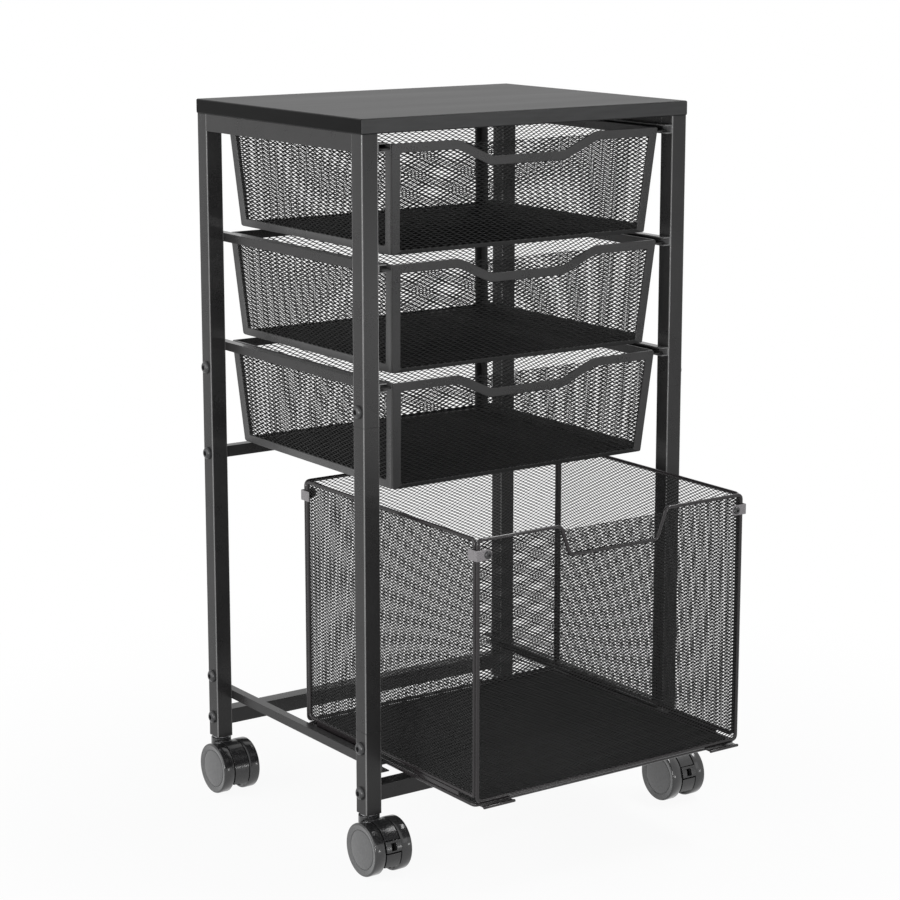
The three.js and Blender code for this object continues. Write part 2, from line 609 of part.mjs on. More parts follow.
// The hood stands between the wheels: a disc with its foot cut off, the stem collar and the axle
function hoodSolid(hasLever) {
  const axleZ = WHEEL_DIAMETER / 2;
  const disc = new THREE.Shape();
  disc.absarc(0, 0, HOOD_RADIUS, -HOOD_END_ANGLE, Math.PI + HOOD_END_ANGLE, false);
  disc.closePath();
  const wheelWell = new THREE.Shape().absarc(0, 0, axleZ + WHEEL_WELL_GAP, 0, 2 * Math.PI);
  const collarTop = LEG_BOTTOM - COLLAR_GAP;
  const wells = acrossWheel(wheelWell, CASTER_WIDTH).subtract(acrossWheel(wheelWell, HOOD_WIDTH));
  const collar = upright(COLLAR_DIAMETER, axleZ, collarTop).subtract(wells);
  const axle = new THREE.CylinderGeometry(AXLE_DIAMETER / 2, AXLE_DIAMETER / 2, AXLE_LENGTH, ROUND_SEGMENTS);
  axle.rotateZ(Math.PI / 2).translate(0, -CASTER_TRAIL, axleZ);
  const hood = join([acrossWheel(disc, HOOD_WIDTH), collar, toSolid(axle)])
    .subtract(upright(STEM_DIAMETER + 2 * FIT, collarTop - STEM_IN_HOOD - FIT, collarTop + 1));
  const slotFloor = HOOD_RADIUS + LEVER_PROUD - LEVER_DEPTH - LEVER_SLOT_DEPTH;
  const slot = acrossWheel(sector(slotFloor, WHEEL_DIAMETER, LEVER_SLOT_ANGLES), CASTER_WIDTH);
  return hasLever ? hood.subtract(slot) : hood;
}

// The brake lever is a rocker at the front of the hood, with a window in it
function leverSolid() {
  const outer = HOOD_RADIUS + LEVER_PROUD;
  const slab = acrossWheel(sector(outer - LEVER_DEPTH, outer, LEVER_ANGLES), LEVER_WIDTH);
  const window = sector(outer - 2 * LEVER_DEPTH, outer + LEVER_DEPTH, LEVER_WINDOW_ANGLES);
  return slab.subtract(acrossWheel(window, LEVER_WINDOW));
}

function makeCaster(end, sy, side, sx) {
  const caster = new THREE.Group();
  caster.position.set(sx * LEG_X, sy * LEG_Y, 0);
  const label = `caster_${end}_${side}`;
  const axleZ = WHEEL_DIAMETER / 2;
  const hasLever = end === 'front';
  addMesh(caster, `${label}_hood`, toGeometry(hoodSolid(hasLever)), HOOD_PLASTIC);
  const stemTop = LEG_BOTTOM + STEM_INSERT;
  const stemBottom = LEG_BOTTOM - COLLAR_GAP - STEM_IN_HOOD;
  addMesh(caster, `${label}_stem`, toGeometry(upright(STEM_DIAMETER, stemBottom, stemTop)), BRIGHT_STEEL);
  for (const [wheelSide, wx] of SIDES) {
    const wheel = addMesh(caster, `${label}_wheel_${wheelSide}`, wheelGeometry(), WHEEL_PLASTIC);
    wheel.position.set(wx * (CASTER_WIDTH / 2 - WHEEL_WIDTH), -CASTER_TRAIL, axleZ);
    wheel.rotation.z = wx > 0 ? 0 : Math.PI;
  }
  if (hasLever) addMesh(caster, `brake_lever_${side}`, toGeometry(leverSolid()), HOOD_PLASTIC);
  return caster;
}

const cart = new THREE.Group();
cart.name = 'mobile_file_cart';
cart.add(makeFrame());
['upper', 'middle', 'lower'].forEach((name, index) => cart.add(makeDrawer(name, index)));
cart.add(makeFileBox());
for (const [end, sy] of ENDS) {
  for (const [side, sx] of SIDES) cart.add(makeCaster(end, sy, side, sx));
}

// The origin lies on the floor under the middle of the whole part as it stands
const middle = new THREE.Box3().setFromObject(cart).getCenter(new THREE.Vector3());
cart.position.y = -middle.y;

export default cart;
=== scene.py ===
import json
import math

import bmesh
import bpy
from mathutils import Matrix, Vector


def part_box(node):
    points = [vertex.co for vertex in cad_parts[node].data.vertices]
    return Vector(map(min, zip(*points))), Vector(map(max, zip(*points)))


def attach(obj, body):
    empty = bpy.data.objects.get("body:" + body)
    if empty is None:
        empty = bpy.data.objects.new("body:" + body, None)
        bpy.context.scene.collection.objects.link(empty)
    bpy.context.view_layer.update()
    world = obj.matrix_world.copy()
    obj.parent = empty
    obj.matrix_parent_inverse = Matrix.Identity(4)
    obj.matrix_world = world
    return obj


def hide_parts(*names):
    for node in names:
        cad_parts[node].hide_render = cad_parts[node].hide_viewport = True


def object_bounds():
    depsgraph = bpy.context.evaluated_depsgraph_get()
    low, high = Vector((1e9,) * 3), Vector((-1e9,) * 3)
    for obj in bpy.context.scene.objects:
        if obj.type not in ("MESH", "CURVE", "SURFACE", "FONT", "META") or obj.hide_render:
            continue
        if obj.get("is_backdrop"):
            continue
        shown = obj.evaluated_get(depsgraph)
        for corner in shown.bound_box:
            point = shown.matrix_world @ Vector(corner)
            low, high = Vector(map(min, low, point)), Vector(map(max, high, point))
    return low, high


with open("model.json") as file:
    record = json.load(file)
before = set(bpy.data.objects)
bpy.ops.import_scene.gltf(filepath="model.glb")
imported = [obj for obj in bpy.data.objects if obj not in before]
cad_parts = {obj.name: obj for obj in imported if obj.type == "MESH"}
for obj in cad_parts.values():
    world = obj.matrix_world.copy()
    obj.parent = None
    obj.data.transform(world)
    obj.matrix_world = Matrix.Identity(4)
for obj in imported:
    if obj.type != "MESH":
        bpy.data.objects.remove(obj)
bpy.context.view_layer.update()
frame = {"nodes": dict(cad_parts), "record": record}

# %% [markdown]
# # A rolling file cart, dressed for a close look
# The solids of the cart are loaded already: every tube, wall, wheel and channel at its place.
# This lesson gives them their finish. The coarse nets become real expanded metal, the tubes get
# soft edges, the screws go in, and each surface gets a paint, plastic or laminate of its own.
# Everything is in metres in the frame of the solids, so nothing has to be fitted by eye.

MM = 0.001
board_low, board_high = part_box("top_board")
FRAME_MIDDLE = (board_low + board_high) / 2
SIDES = {"left": -1, "right": 1}
ENDS = {"front": -1, "rear": 1}
DRAWERS = ("upper", "middle", "lower")
scene = bpy.context.scene

# %% [markdown]
# ## Writing nodes as sums
# A node tree is easier to read as a formula. The class below wraps a socket, so that
# `1 - mask * 0.3` adds its Math nodes by itself. Every other node comes from one method, which takes
# the node's type, its settings, and the values or links of its sockets.

# %% A socket that can be added and multiplied
class Flow:
    def __init__(self, recipe, socket):
        self.recipe = recipe
        self.socket = socket

    def maths(self, operation, first, second=0.0):
        return self.recipe.node("ShaderNodeMath", {"operation": operation}, {0: first, 1: second})

    def __add__(self, other):
        return self.maths("ADD", self, other)

    def __radd__(self, other):
        return self.maths("ADD", other, self)

    def __sub__(self, other):
        return self.maths("SUBTRACT", self, other)

    def __rsub__(self, other):
        return self.maths("SUBTRACT", other, self)

    def __mul__(self, other):
        return self.maths("MULTIPLY", self, other)

    def __rmul__(self, other):
        return self.maths("MULTIPLY", other, self)

    def __truediv__(self, other):
        return self.maths("DIVIDE", self, other)


class Recipe:
    def __init__(self, tree):
        self.tree = tree

    def node(self, kind, settings=None, inputs=None, out=0):
        made = self.tree.nodes.new(kind)
        for key, value in (settings or {}).items():
            setattr(made, key, value)
        for key, value in (inputs or {}).items():
            self.feed(made.inputs[key], value)
        return Flow(self, made.outputs[out]) if len(made.outputs) else made

    def feed(self, socket, value):
        if isinstance(value, Flow):
            self.tree.links.new(value.socket, socket)
        else:
            socket.default_value = value

    def ramp(self, factor, stops):
        made = self.tree.nodes.new("ShaderNodeValToRGB")
        elements = made.color_ramp.elements
        for index, (place, colour) in enumerate(stops):
            stop = elements[index] if index < 2 else elements.new(place)
            stop.position = place
            stop.color = (*colour, 1)
        self.feed(made.inputs["Fac"], factor)
        return Flow(self, made.outputs["Color"])


print("nodes can now be written as sums")

# %% [markdown]
# ## Paints, plastics and laminate
# The cart is black all over, so its finishes differ in gloss, in grain and in how dark they are. One
# function makes them all from two noises: a fine one for the orange-peel bump of powder coat, and a
# cloudy one for its uneven sheen. The drawers' strips have a slightly lighter coat than the posts. The
# drawers' side strips, the runners and the round corners of the posts have lighter copies still: painted
# highlights where the light falls. The board is a laminate with a faint long grain and bands on its
# edges, lighter in front and behind as a painted reflection and darker at the sides as painted shade.
# The hoods are glossy plastic, and the hubs a grey plastic, made lighter as a painted reflection.

# %% A material with its colour, sheen and bump from noise
CLOUD_SCALE = 23.0
PEEL_DEPTH = 0.0002
COAT_ROUGHNESS = 0.12


def grey(value):
    return (value, value, value)


def finish(name, dark, light, roughness, spread, grain, bump,
           metallic=0.0, coat=0.0, gloss=0.5, stretch=(1, 1, 1)):
    """A finish between two colours, with an uneven roughness and a fine bump of the given grain."""
    material = bpy.data.materials.new(name)
    material.use_nodes = True
    material.node_tree.nodes.clear()
    recipe = Recipe(material.node_tree)
    place = recipe.node("ShaderNodeTexCoord", out=3)
    place = recipe.node("ShaderNodeMapping", {}, {"Vector": place, "Scale": stretch})
    fine = recipe.node("ShaderNodeTexNoise", {}, {"Vector": place, "Scale": grain, "Detail": 3.0})
    cloud = recipe.node("ShaderNodeTexNoise", {}, {"Vector": place, "Scale": CLOUD_SCALE, "Detail": 2.0})
    speck = fine * 0.6 + cloud * 0.4
    colour = recipe.ramp(speck, [(0.32, dark), (0.68, light)])
    sheen = roughness + (cloud - 0.5) * spread + (fine - 0.5) * (spread * 0.5)
    normal = recipe.node("ShaderNodeBump", {}, {"Strength": bump, "Distance": PEEL_DEPTH, "Height": fine})
    shader = recipe.node("ShaderNodeBsdfPrincipled", {}, {
        "Base Color": colour,
        "Roughness": sheen,
        "Metallic": metallic,
        "Coat Weight": coat,
        "Coat Roughness": COAT_ROUGHNESS,
        "Specular IOR Level": gloss,
        "Normal": normal,
    })
    recipe.node("ShaderNodeOutputMaterial", {}, {"Surface": shader})
    return material


print("depth of the orange peel in mm:", PEEL_DEPTH / MM)

# %% Powder coats of the frame, the drawers and the box, and lighter copies of them that paint highlights
FRAME_COAT = finish(
    "black_powder_coat", (0.017, 0.0165, 0.0165), (0.028, 0.0275, 0.0275),
    roughness=0.28, spread=0.06, grain=900, bump=0.08, gloss=0.22)
DRAWER_COAT = finish(
    "drawer_strip_coat", (0.025, 0.0246, 0.0246), (0.04, 0.0394, 0.0394),
    roughness=0.28, spread=0.06, grain=900, bump=0.08, gloss=0.25)
# Painted highlight: a lighter copy of the strip coat for the drawers' side walls, as if the light from the
# left falls on them
DRAWER_SIDE_PAINTED_HIGHLIGHT = finish(
    "drawer_side_painted_highlight", (0.05, 0.0495, 0.0495), (0.075, 0.0742, 0.0742),
    roughness=0.28, spread=0.06, grain=900, bump=0.08, gloss=0.25)
# Painted highlight: a lighter copy of the coat for the channels inside the posts, standing in for the light
# they catch
RUNNER_PAINTED_HIGHLIGHT = finish(
    "runner_painted_highlight", (0.085, 0.084, 0.084), (0.12, 0.119, 0.119),
    roughness=0.28, spread=0.06, grain=900, bump=0.1)
# Painted highlight: a lighter, glossier copy of the frame coat for the round upright corners of the posts
CORNER_PAINTED_HIGHLIGHT = finish(
    "corner_painted_highlight", (0.11, 0.109, 0.108), (0.16, 0.158, 0.156),
    roughness=0.24, spread=0.06, grain=900, bump=0.05, coat=0.5)
MESH_COAT = finish(
    "expanded_metal_coat", grey(0.006), grey(0.013),
    roughness=0.42, spread=0.1, grain=700, bump=0.1, gloss=0.2)
WIRE_COAT = finish(
    "box_wire_coat", (0.012, 0.0105, 0.011), (0.021, 0.0185, 0.0195),
    roughness=0.16, spread=0.05, grain=800, bump=0.05, coat=0.1, gloss=0.32)
CLIP_COAT = finish(
    "clip_coat", (0.15, 0.142, 0.147), (0.215, 0.204, 0.21),
    roughness=0.28, spread=0.06, grain=700, bump=0.06, metallic=0.3)
print("powder coats:", len(bpy.data.materials))

# %% Laminate, edge bands with painted reflection and shade, plastics and bright metal
LAMINATE = finish(
    "black_laminate", grey(0.01), grey(0.017),
    roughness=0.4, spread=0.08, grain=260, bump=0.08, gloss=0.08, stretch=(0.12, 1, 1))
# Painted reflection: the front and back edge bands are lighter, as if they reflect the bright space in
# front
FRONT_BAND_PAINTED_REFLECTION = finish(
    "front_edge_band_painted_reflection", grey(0.044), grey(0.058),
    roughness=0.4, spread=0.08, grain=260, bump=0.08, gloss=0.08, stretch=(0.12, 1, 1))
# Painted shade: the side edge bands are darker than the laminate
SIDE_BAND_PAINTED_SHADE = finish(
    "side_edge_band_painted_shade", grey(0.003), grey(0.005),
    roughness=0.4, spread=0.08, grain=260, bump=0.08, gloss=0.05, stretch=(1, 0.12, 1))
HOOD_PLASTIC = finish(
    "caster_hood_plastic", (0.012, 0.012, 0.0125), (0.021, 0.021, 0.0215),
    roughness=0.26, spread=0.06, grain=500, bump=0.012, coat=0.2)
TREAD_PLASTIC = finish(
    "caster_tread_plastic", (0.014, 0.014, 0.0145), (0.024, 0.024, 0.0245),
    roughness=0.18, spread=0.05, grain=400, bump=0.012, coat=0.3)
# Painted reflection: the hubs' plastic is a lighter grey than the tread's, standing in for the reflection
# on their glossy discs
HUB_PLASTIC_PAINTED_REFLECTION = finish(
    "caster_hub_plastic", (0.075, 0.075, 0.0755), (0.1, 0.1, 0.1005),
    roughness=0.26, spread=0.08, grain=500, bump=0.04)
BRIGHT_STEEL = finish(
    "bright_zinc", (0.5, 0.5, 0.52), (0.72, 0.72, 0.74),
    roughness=0.3, spread=0.15, grain=600, bump=0.1, metallic=1.0)
SCREW_STEEL = finish(
    "blackened_screw", (0.014, 0.014, 0.0145), (0.03, 0.03, 0.031),
    roughness=0.3, spread=0.12, grain=900, bump=0.1)
print("finishes in all:", len(bpy.data.materials))

# %% [markdown]
# ## From mesh code to a finished piece
# A piece is a plain mesh at the origin that rides on one of the cart's bodies. Where it stands for a
# solid of the frame, that solid is hidden, and stays only for the physics.

# %% Finishing a piece
BODIES = frame["record"]["behaviour"]["bodies"]


def body_of(node):
    return next(body for body, members in BODIES.items() if node in members)


def new_object(name, mesh):
    made = bpy.data.objects.new(name, mesh)
    scene.collection.objects.link(made)
    return made


def settle(made, body, replaced=()):
    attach(made, body)
    if replaced:
        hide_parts(*replaced)
    return made


def mesh_of(name, source, *materials):
    mesh = bpy.data.meshes.new(name)
    source.to_mesh(mesh)
    source.free()
    for material in materials:
        mesh.materials.append(material)
    return mesh


def shade_soft(mesh, degrees=32):
    mesh.shade_smooth()
    mesh.set_sharp_from_angle(angle=math.radians(degrees))


def baked(made):
    shape = bpy.data.meshes.new_from_object(made.evaluated_get(bpy.context.evaluated_depsgraph_get()))
    made.modifiers.clear()
    made.data = shape
    return made


print("bodies that pieces can ride on:", len(BODIES))

# %% [markdown]
# ## Tubes, board and channels with soft edges
# The solids have the right shape already, but real sheet and tube have no knife edges: a small
# rounding catches the light along every corner, and it shows the seams between the stacked legs.
# A copy of each solid is merged, its flat faces are joined again, and a bevel rounds what is left.
# Normals weighted by area keep the large faces flat, so that only the roundings bend the light.

# %% Rounding the edges of a copy
MERGE_DISTANCE = 2e-6
FLAT_ANGLE = math.radians(1)
EDGE_ANGLE = math.radians(25)


def softened(node, width, material, segments=2):
    shape = bmesh.new()
    shape.from_mesh(frame["nodes"][node].data)
    bmesh.ops.remove_doubles(shape, verts=shape.verts, dist=MERGE_DISTANCE)
    bmesh.ops.dissolve_limit(shape, angle_limit=FLAT_ANGLE, verts=shape.verts, edges=shape.edges)
    made = new_object(node + "_dressed", mesh_of(node + "_dressed", shape, material))
    bevel = made.modifiers.new("edge", "BEVEL")
    bevel.width = width
    bevel.segments = segments
    bevel.limit_method = "ANGLE"
    bevel.angle_limit = EDGE_ANGLE
    bevel.use_clamp_overlap = True
    baked(made)
    made.data.shade_smooth()
    made.modifiers.new("even light on flat faces", "WEIGHTED_NORMAL").weight = 90
    baked(made)
    return settle(made, body_of(node), [node])


print("edges sharper than", round(math.degrees(EDGE_ANGLE)), "degrees are rounded")

# %% Painted highlights, reflection and shade that differ from face to face
CORNER_HIGHLIGHT_INDEX, RUNNER_HIGHLIGHT_INDEX = 1, 2
FRONT_REFLECTION_INDEX, SIDE_SHADE_INDEX = 1, 2
leg_low, leg_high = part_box("leg_middle_front_left")
POST_INSIDE = -leg_high.x
RUNNER_LIMIT = POST_INSIDE - 0.1 * MM


def paint_corner_highlights(made):
    """Paints a highlight on the round upright corners of the posts, with a lighter, glossier coat."""
    made.data.materials.append(CORNER_PAINTED_HIGHLIGHT)
    for face in made.data.polygons:
        x, y, z = (abs(v) for v in face.normal)
        upright_and_round = z < 0.1 and max(x, y) < 0.95
        face.material_index = CORNER_HIGHLIGHT_INDEX if upright_and_round else 0
    return made


def paint_runner_highlights(made):
    """Paints a highlight on the channels welded inside the posts of a side frame, with a lighter copy of
    their coat.
    """
    made.data.materials.append(RUNNER_PAINTED_HIGHLIGHT)
    for face in made.data.polygons:
        if abs(face.center.x) < RUNNER_LIMIT:
            face.material_index = RUNNER_HIGHLIGHT_INDEX


def paint_board_edge_light(made):
    """Bands close the edges of the board: lighter ones in front and behind, a painted reflection, and dark
    ones at the sides, painted shade.
    """
    for band in (FRONT_BAND_PAINTED_REFLECTION, SIDE_BAND_PAINTED_SHADE):
        made.data.materials.append(band)
    for face in made.data.polygons:
        x, y, z = (abs(v) for v in face.normal)
        if z < 0.3:
            face.material_index = FRONT_REFLECTION_INDEX if y > x else SIDE_SHADE_INDEX


print("inside of the posts in mm:", round(POST_INSIDE / MM, 1))

# %% The frame and the board
FRAME_EDGE = 0.6 * MM
BOARD_EDGE = 0.5 * MM
for name in frame["nodes"]:
    if name.startswith("rail_"):
        softened(name, FRAME_EDGE, FRAME_COAT)
    if name.startswith(("leg_middle", "lower_side_frame")):
        paint_corner_highlights(softened(name, FRAME_EDGE, FRAME_COAT))
    if name.startswith("upper_side_frame"):
        paint_runner_highlights(paint_corner_highlights(softened(name, FRAME_EDGE, FRAME_COAT)))
paint_board_edge_light(softened("top_board", BOARD_EDGE, LAMINATE))
print("softened frame solids")

# %% [markdown]
# ## Outlines that bend round corners
# Every panel is drawn flat first. An outline is a list of corners. It can be moved inwards by a
# different amount on each side, which gives the border strip, and its corners can be rounded.

# %% Outline tools
def moved_in(points, distances):
    count = len(points)
    lines = []
    for index, start in enumerate(points):
        along = (points[(index + 1) % count] - start).normalized()
        lines.append((start + Vector((-along.y, along.x)) * distances[index], along))
    result = []
    for index, (start, along) in enumerate(lines):
        before, previous = lines[index - 1]
        cross = previous.x * along.y - previous.y * along.x
        gap = start - before
        result.append(before + previous * ((gap.x * along.y - gap.y * along.x) / cross))
    return result


def rounded(points, radii, steps=5):
    result = []
    for index, corner in enumerate(points):
        start = corner + (points[index - 1] - corner).normalized() * radii[index]
        end = corner + (points[(index + 1) % len(points)] - corner).normalized() * radii[index]
        for step in range(steps + 1):
            t = step / steps
            result.append((1 - t) ** 2 * start + 2 * t * (1 - t) * corner + t ** 2 * end)
    return result


def corners(*pairs):
    return [Vector((x, y)) * MM for x, y in pairs]


def ring(outer, inner, low, high):
    """A flat band between two outlines with the same number of points, from one height to another."""
    shape = bmesh.new()
    rows = [[shape.verts.new((p.x, p.y, z)) for p in line]
            for line, z in ((outer, low), (outer, high), (inner, high), (inner, low))]
    count = len(outer)
    for row, following in zip(rows, rows[1:] + rows[:1]):
        for i in range(count):
            j = (i + 1) % count
            shape.faces.new((row[i], row[j], following[j], following[i]))
    bmesh.ops.recalc_face_normals(shape, faces=shape.faces)
    return shape


square = corners((0, 0), (10, 0), (10, 10), (0, 10))
print("points of a square with round corners:", len(rounded(square, [MM] * 4)))

# %% [markdown]
# ## Expanded metal
# Expanded metal is slit and pulled sheet: strands run in zigzags, and each touches the next at its
# peaks, so the openings are diamonds. A node tree follows that rule. It takes a grid, keeps the edges
# that run along the rows, pushes the points up and down in turn, drops what lies outside the panel's
# outline, and gives the rest a strand's section. A little tilt makes the strands catch the light.

# %% Starting a node tree with named inputs
def started_tree(name, source, result, inputs):
    """A tree that takes and gives a mesh, with its inputs' identifiers and its inputs as values."""
    tree = bpy.data.node_groups.new(name, "GeometryNodeTree")
    tree.interface.new_socket(source, in_out="INPUT", socket_type="NodeSocketGeometry")
    identifiers = {}
    for label, kind in inputs:
        socket = tree.interface.new_socket(label, in_out="INPUT", socket_type="NodeSocket" + kind)
        identifiers[label] = socket.identifier
    tree.interface.new_socket(result, in_out="OUTPUT", socket_type="NodeSocketGeometry")
    recipe = Recipe(tree)
    given = tree.nodes.new("NodeGroupInput")
    value = {socket.name: Flow(recipe, socket) for socket in given.outputs if socket.name}
    return tree, identifiers, recipe, value


def ended_tree(recipe, geometry, material):
    """Turns copies into plain mesh, gives it its material, and ends the tree."""
    solid = recipe.node("GeometryNodeRealizeInstances", {}, {"Geometry": geometry})
    solid = recipe.node("GeometryNodeSetMaterial", {}, {"Geometry": solid, "Material": material})
    recipe.node("NodeGroupOutput", {}, {0: solid})


print("trees take their sizes as named inputs")

# %% The node tree for expanded metal
RAY_START = (0, 0, 0.02)
RAY_LENGTH = 0.1
SAME_PLACE = 1e-5
STRAND_OVERLAP = 0.35
STRAND_FLATNESS = 0.75


def expanded_metal_tree():
    tree, sizes, recipe, value = started_tree("expanded_metal", "Outline", "Mesh", (
        ("Columns", "Int"), ("Rows", "Int"), ("Half Cell Width", "Float"), ("Half Cell Height", "Float"),
        ("Strand", "Float"), ("Tilt", "Float"), ("Middle", "Vector"), ("Coat", "Material")))

    width = value["Columns"] * value["Half Cell Width"]
    height = value["Rows"] * value["Half Cell Height"]
    grid = recipe.node("GeometryNodeMeshGrid", {}, {
        "Size X": width, "Size Y": height,
        "Vertices X": value["Columns"] + 1, "Vertices Y": value["Rows"] + 1})
    ends = tree.nodes.new("GeometryNodeInputMeshEdgeVertices")
    first = Flow(recipe, ends.outputs["Position 1"])
    second = Flow(recipe, ends.outputs["Position 2"])
    step = recipe.node("ShaderNodeVectorMath", {"operation": "SUBTRACT"}, {0: first, 1: second})
    step = recipe.node("ShaderNodeVectorMath", {"operation": "ABSOLUTE"}, {0: step})
    across = recipe.node("ShaderNodeSeparateXYZ", {}, {0: step})
    upright = recipe.node("FunctionNodeCompare", {"operation": "LESS_THAN"}, {0: across, 1: SAME_PLACE})
    rows = recipe.node("GeometryNodeDeleteGeometry", {"domain": "EDGE", "mode": "EDGE_FACE"},
                       {"Geometry": grid, "Selection": upright})

    spot = recipe.node("GeometryNodeInputPosition")
    place_x = recipe.node("ShaderNodeSeparateXYZ", {}, {0: spot})
    place_y = recipe.node("ShaderNodeSeparateXYZ", {}, {0: spot}, out=1)
    column = place_x / value["Half Cell Width"] + value["Columns"] * 0.5
    row = place_y / value["Half Cell Height"] + value["Rows"] * 0.5
    count = column + row + 0.01
    whole = count.maths("FLOOR", count)
    odd = whole.maths("MODULO", whole, 2.0)
    rise = (1 - odd * 2) * (value["Half Cell Height"] * 0.5 - value["Strand"] * STRAND_OVERLAP)
    lift = recipe.node("ShaderNodeCombineXYZ", {}, {1: rise})
    lift = recipe.node("ShaderNodeVectorMath", {"operation": "ADD"}, {0: lift, 1: value["Middle"]})
    zigzag = recipe.node("GeometryNodeSetPosition", {}, {"Geometry": rows, "Offset": lift})

    above = recipe.node("ShaderNodeVectorMath", {"operation": "ADD"},
                        {0: recipe.node("GeometryNodeInputPosition"), 1: RAY_START})
    sight = tree.nodes.new("GeometryNodeRaycast")
    recipe.feed(sight.inputs["Target Geometry"], value["Outline"])
    recipe.feed(sight.inputs["Source Position"], above)
    recipe.feed(sight.inputs["Ray Direction"], (0, 0, -1))
    recipe.feed(sight.inputs["Ray Length"], RAY_LENGTH)
    inside = Flow(recipe, sight.outputs["Is Hit"])
    outside = recipe.node("FunctionNodeBooleanMath", {"operation": "NOT"}, {0: inside})
    kept = recipe.node("GeometryNodeDeleteGeometry", {"domain": "POINT", "mode": "ALL"},
                       {"Geometry": zigzag, "Selection": outside})

    strands = recipe.node("GeometryNodeMeshToCurve", {}, {"Mesh": kept})
    strands = recipe.node("GeometryNodeSetCurveNormal", {"mode": "Z_UP"}, {"Curve": strands})
    strands = recipe.node("GeometryNodeSetCurveTilt", {}, {"Curve": strands, "Tilt": value["Tilt"]})
    section = recipe.node("GeometryNodeCurvePrimitiveQuadrilateral", {}, {
        "Width": value["Strand"] * STRAND_FLATNESS, "Height": value["Strand"]})
    bars = recipe.node("GeometryNodeCurveToMesh", {}, {
        "Curve": strands, "Profile Curve": section, "Fill Caps": True})
    ended_tree(recipe, bars, value["Coat"])
    return tree, sizes


EXPANDED_METAL, METAL_INPUT = expanded_metal_tree()
print("nodes in the tree for expanded metal:", len(EXPANDED_METAL.nodes))


# %% A field of expanded metal inside an outline
STRAND_TILT = 0.5


def expanded_metal(name, outline, cell, strand):
    shape = bmesh.new()
    face = shape.faces.new([shape.verts.new((p.x, p.y, 0)) for p in outline])
    bmesh.ops.triangulate(shape, faces=[face])
    made = new_object(name, mesh_of(name, shape))
    xs = [p.x for p in outline]
    ys = [p.y for p in outline]
    cell_width, cell_height = cell
    sizes = {
        "Columns": 2 * math.ceil((max(xs) - min(xs)) / cell_width),
        "Rows": 2 * math.ceil((max(ys) - min(ys)) / cell_height),
        "Half Cell Width": cell_width / 2,
        "Half Cell Height": cell_height / 2,
        "Strand": strand,
        "Tilt": STRAND_TILT,
        "Middle": ((max(xs) + min(xs)) / 2, (max(ys) + min(ys)) / 2, 0),
        "Coat": MESH_COAT,
    }
    tree = made.modifiers.new("expanded metal", "NODES")
    tree.node_group = EXPANDED_METAL
    for label, size in sizes.items():
        tree[METAL_INPUT[label]] = size
    made.update_tag()
    baked(made)
    return made


print("tilt of the strands in degrees:", round(math.degrees(STRAND_TILT)))

# %% [markdown]
# ## Drawers
# A drawer is a tub of five meshes, each in a border of folded strip. Its four walls lean inwards, so
# a wall is drawn flat, leaned, and turned by quarter turns to its side. The front has a dip for the
# fingers, and along the sides runs the lip that rides in the channel. The strips are left flat, and only
# their folded edges are shaded round, because that is what tells a strip from a tube.

# %% Drawer sizes, as in the solids
DRAWER_HEIGHT = 108.9
DRAWER_TOP = (164.25, 154.6)
DRAWER_BOTTOM = (157.25, 143.1)
RIM_STRIP, POST_STRIP, FOOT_STRIP, HEM = 9.2, 9.6, 8.0, 4.0
DIP_TOP, DIP_BOTTOM, DIP_DEPTH = 84.0, 44.0, 18.0
DRAWER_CELL = (9.0 * MM, 4.2 * MM)
DRAWER_STRAND = 0.95 * MM
METAL_INSET = 3 * MM
STRIP_THICKNESS = 2.4 * MM
STRIP_FOLD = 0.6 * MM
SHEET = 1.6
CORNER_ROUND, DIP_ROUND, FIELD_ROUND = 2.0 * MM, 5.0 * MM, 2.0 * MM
LIP_DROP, LIP_INSET, LIP_EDGE = 5.7, 3.0, 0.3 * MM
TO_SHEET_MIDDLE = Matrix.Translation((0, 0, SHEET / 2 * MM))
print("drawer height and rim in mm:", DRAWER_HEIGHT, [2 * size for size in DRAWER_TOP])


# %% Leaning a wall, and joining the parts of a piece

def wall_place(quarter, top_offset, bottom_offset, base):
    up = Vector((0, bottom_offset - top_offset, DRAWER_HEIGHT)).normalized()
    along = Vector((1, 0, 0))
    out = along.cross(up)
    leaned = Matrix((along, up, out)).transposed().to_4x4()
    leaned.translation = Vector((0, -bottom_offset, 0)) * MM
    shift = Matrix.Translation((0, FRAME_MIDDLE.y, base))
    return shift @ Matrix.Rotation(quarter * math.pi / 2, 4, "Z") @ leaned


def joined(name, parts, place):
    whole = bmesh.new()
    materials = []
    for part in parts:
        part.data.transform(place)
        offset = len(materials)
        materials.extend(part.data.materials)
        before = len(whole.faces)
        whole.from_mesh(part.data)
        whole.faces.ensure_lookup_table()
        for face in whole.faces[before:]:
            face.material_index += offset
        bpy.data.objects.remove(part)
    return new_object(name, mesh_of(name, whole, *materials))


print("lean of the front wall in mm:", round(DRAWER_TOP[1] - DRAWER_BOTTOM[1], 1))


# %% Strips that border a field
def strip_border(name, outline, widths, radii, material):
    outer = rounded(outline, radii)
    inner = rounded(moved_in(outline, [w * MM for w in widths]), [max(r, FIELD_ROUND) for r in radii])
    middle = SHEET / 2 * MM
    band = ring(outer, inner, middle - STRIP_THICKNESS / 2, middle + STRIP_THICKNESS / 2)
    made = new_object(name, mesh_of(name, band, material))
    bevel = made.modifiers.new("fold", "BEVEL")
    bevel.width = STRIP_FOLD
    bevel.segments = 2
    bevel.limit_method = "ANGLE"
    bevel.angle_limit = math.radians(60)
    baked(made)
    shade_soft(made.data, 50)
    for face in made.data.polygons:
        lies_flat = abs(face.normal.z) >= 0.999
        face.use_smooth = not lies_flat
    return made


